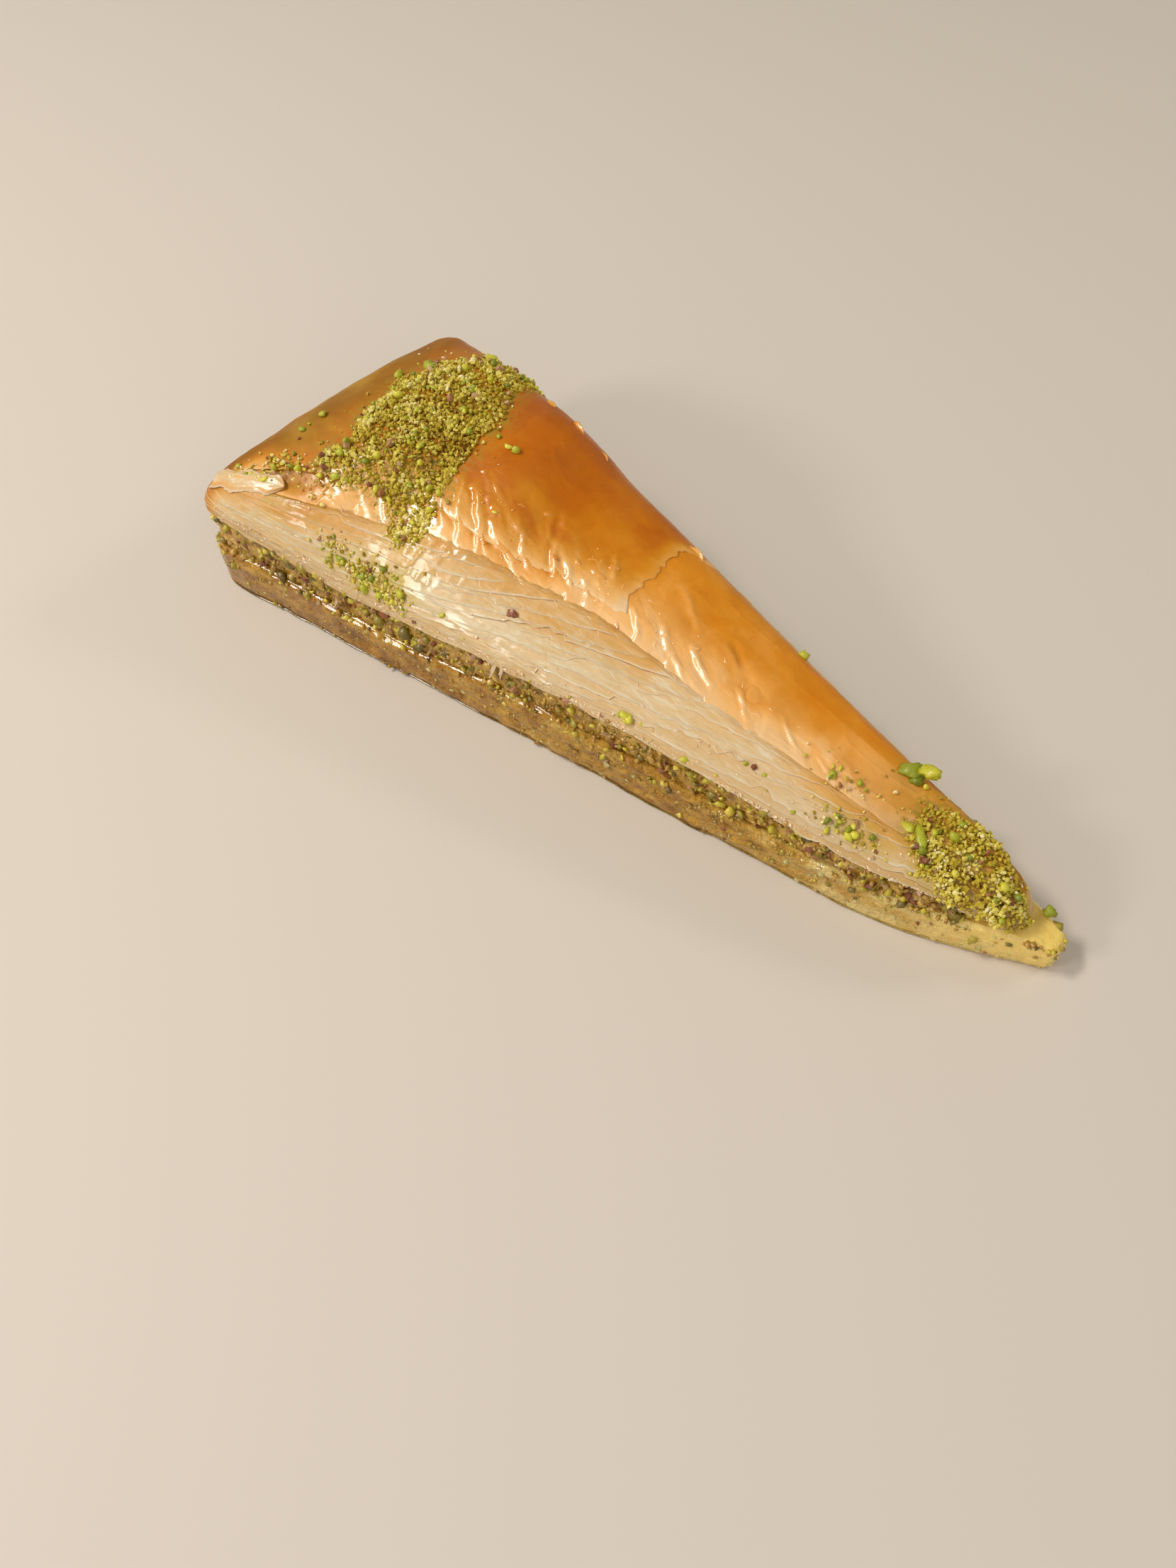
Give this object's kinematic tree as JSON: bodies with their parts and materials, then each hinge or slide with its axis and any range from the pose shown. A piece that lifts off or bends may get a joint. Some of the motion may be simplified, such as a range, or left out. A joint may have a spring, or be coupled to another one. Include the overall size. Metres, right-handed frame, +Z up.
{
  "type": "baklava piece",
  "caption": "Long wedge of baked leaf pastry: soaked base, ground pistachio filling and a puffed, fanned upper pastry topped with ground pistachio at both ends.",
  "frame": {"origin": "middle of the footprint, on the flat underside that rests on the plate", "axes": "+X from the wide baked end to the narrow tip, +Y to the far cut side, +Z up"},
  "size_m": [0.1923, 0.0722, 0.0427],
  "materials": {
    "soaked_pastry": "wet, syrup soaked",
    "ground_filling": "damp ground nut",
    "baked_pastry": "glazed, baked golden"
  },
  "bodies": {
    "root": {"base_pastry": "soaked_pastry", "pistachio_filling": "ground_filling", "top_pastry": "baked_pastry"}
  },
  "joints": []
}
